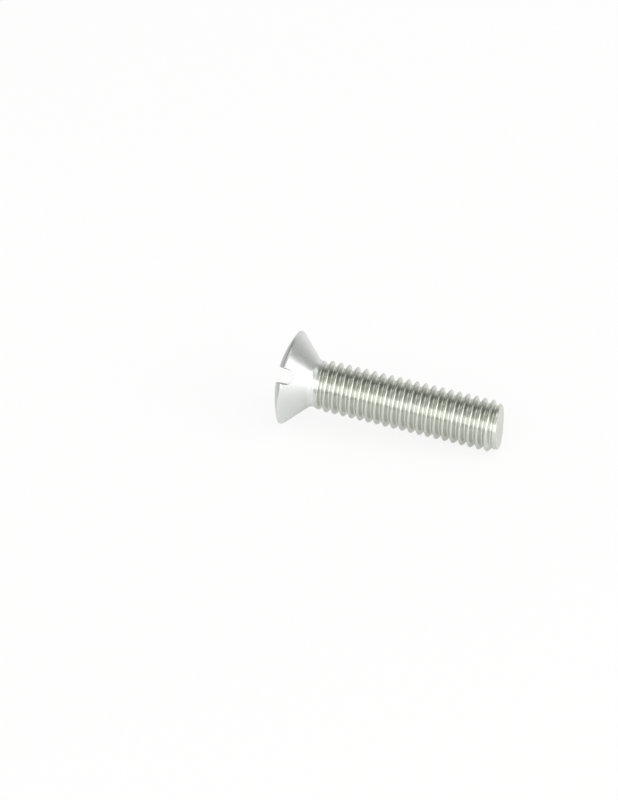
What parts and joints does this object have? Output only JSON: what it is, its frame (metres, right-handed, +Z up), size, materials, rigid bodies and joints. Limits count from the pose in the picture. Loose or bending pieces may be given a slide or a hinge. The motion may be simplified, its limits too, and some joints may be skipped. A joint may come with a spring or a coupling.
{
  "type": "machine screw",
  "caption": "Slotted machine screw with a domed countersunk head and a shank threaded nearly to the head, lying on its side.",
  "frame": {"origin": "on the surface that the screw lies on, under the middle of its bounding box", "axes": "+X runs along the lying screw from its head to its thread end, +Y across it, +Z up. The screw's own axis leans 5.87 degrees down towards +X, because the head's rim is wider than the thread."},
  "size_m": [0.0262, 0.0108, 0.0108],
  "materials": {
    "stainless_steel": "bright cold-headed and thread-rolled stainless steel"
  },
  "bodies": {
    "root": {"screw": "stainless_steel"}
  },
  "joints": []
}
